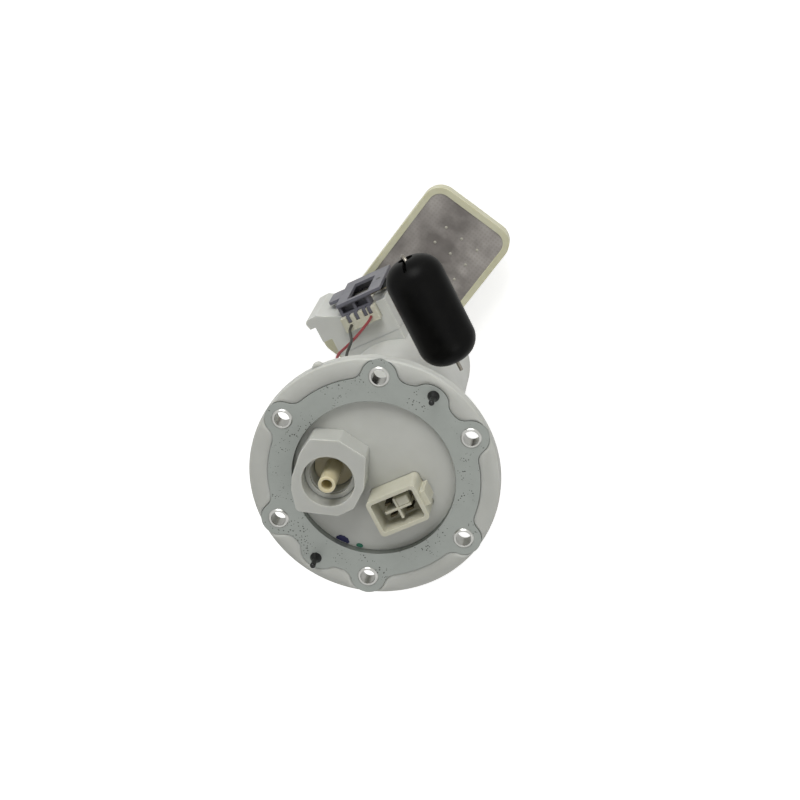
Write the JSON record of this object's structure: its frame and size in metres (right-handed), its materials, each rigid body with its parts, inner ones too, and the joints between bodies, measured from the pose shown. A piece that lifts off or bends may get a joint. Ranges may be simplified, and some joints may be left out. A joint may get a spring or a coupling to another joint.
{
  "type": "in-tank fuel pump module",
  "caption": "Tank-top fuel pump module: round flange with clamp ring, hanging filter and pump body, wire float level sender and flat mesh strainer.",
  "frame": {"origin": "centre of the bolt circle on the clamp ring's outer face", "axes": "+Z out of the tank along the module's axis; the body, sender and strainer lie towards -Z; +X towards the electrical connector's side of the flange"},
  "size_m": [0.1048, 0.14, 0.1649],
  "materials": {
    "zinc_steel": "dull zinc plate",
    "steel": "plain steel",
    "pin_black": "black plastic",
    "nylon_white": "translucent white nylon, satin",
    "rubber_black": "moulded rubber",
    "plug_ivory": "ivory plastic, satin",
    "brass_tin": "tinned brass",
    "acetal_white": "white acetal, satin",
    "filter_paper": "resin-treated paper",
    "aluminium": "die cast",
    "copper": "copper",
    "carbon": "carbon",
    "ferrite": "ferrite",
    "wire_steel": "bright steel wire",
    "sender_grey": "dark grey plastic with a sheen",
    "card_ceramic": "ceramic card",
    "float_black": "black closed-cell material, satin",
    "lead_black": "black wire cover",
    "lead_red": "red wire cover",
    "strainer_cream": "cream plastic, satin",
    "mesh_grey": "fine woven mesh"
  },
  "bodies": {
    "module": {"clamp_ring": "zinc_steel", "limiter_sleeves": "steel", "ring_pins": "pin_black", "flange": "nylon_white", "flange_seal": "rubber_black", "connector_shell": "plug_ivory", "connector_blades": "brass_tin", "outlet_stub": "plug_ivory", "port_ring": "acetal_white", "filter_housing": "acetal_white", "spigot_seal": "rubber_black", "lower_cap": "acetal_white", "pump_cushion": "rubber_black", "upper_cushion": "rubber_black", "filter_element": "filter_paper", "element_cap_upper": "acetal_white", "element_ring_lower": "acetal_white", "pump_can": "zinc_steel", "pump_end_cover": "pin_black", "pump_inlet_cover": "aluminium", "pump_middle_plate": "aluminium", "pump_bearings": "copper", "brushes": "carbon", "magnets": "ferrite", "check_valve_ring": "brass_tin", "check_valve_spring": "wire_steel", "regulator": "zinc_steel", "regulator_seal": "rubber_black", "regulator_clip": "steel", "sender_bracket": "acetal_white", "sender_housing": "sender_grey", "sender_plug": "plug_ivory", "resistor_card": "card_ceramic", "lead_terminals": "brass_tin", "sender_lead_black": "lead_black", "sender_lead_red": "lead_red", "strainer_frame": "strainer_cream", "strainer_grommet": "rubber_black", "strainer_spacer": "acetal_white", "strainer_mesh_upper": "mesh_grey", "strainer_mesh_lower": "mesh_grey"},
    "sender_arm": {"arm_hub": "pin_black", "float_arm": "wire_steel", "wiper": "brass_tin"},
    "float_body": {"float": "float_black"},
    "rotor": {"motor_shaft": "steel", "armature": "steel", "commutator": "copper", "impeller": "pin_black"},
    "check_valve": {"check_valve_poppet": "pin_black"}
  },
  "joints": [
    {"name": "arm_swing", "type": "hinge", "parent": "module", "child": "sender_arm", "pos_m": [-0.01495, 0.04829, -0.112], "axis": [-0.5, 0.866, 0], "range_deg": [0, 70]},
    {"name": "float_turn", "type": "hinge", "parent": "sender_arm", "child": "float_body", "pos_m": [0.01465, 0.05863, -0.05], "axis": [-0.5, 0.866, 0], "continuous": true},
    {"name": "pump_spin", "type": "hinge", "parent": "module", "child": "rotor", "pos_m": [0, 0, -0.09], "axis": [0, 0, 1], "continuous": true},
    {"name": "check_valve_lift", "type": "slide", "parent": "module", "child": "check_valve", "axis": [0, 0, 1], "range_m": [0, 0.0012], "stiffness_N_per_m": 20, "deforming": ["check_valve_spring"]}
  ]
}
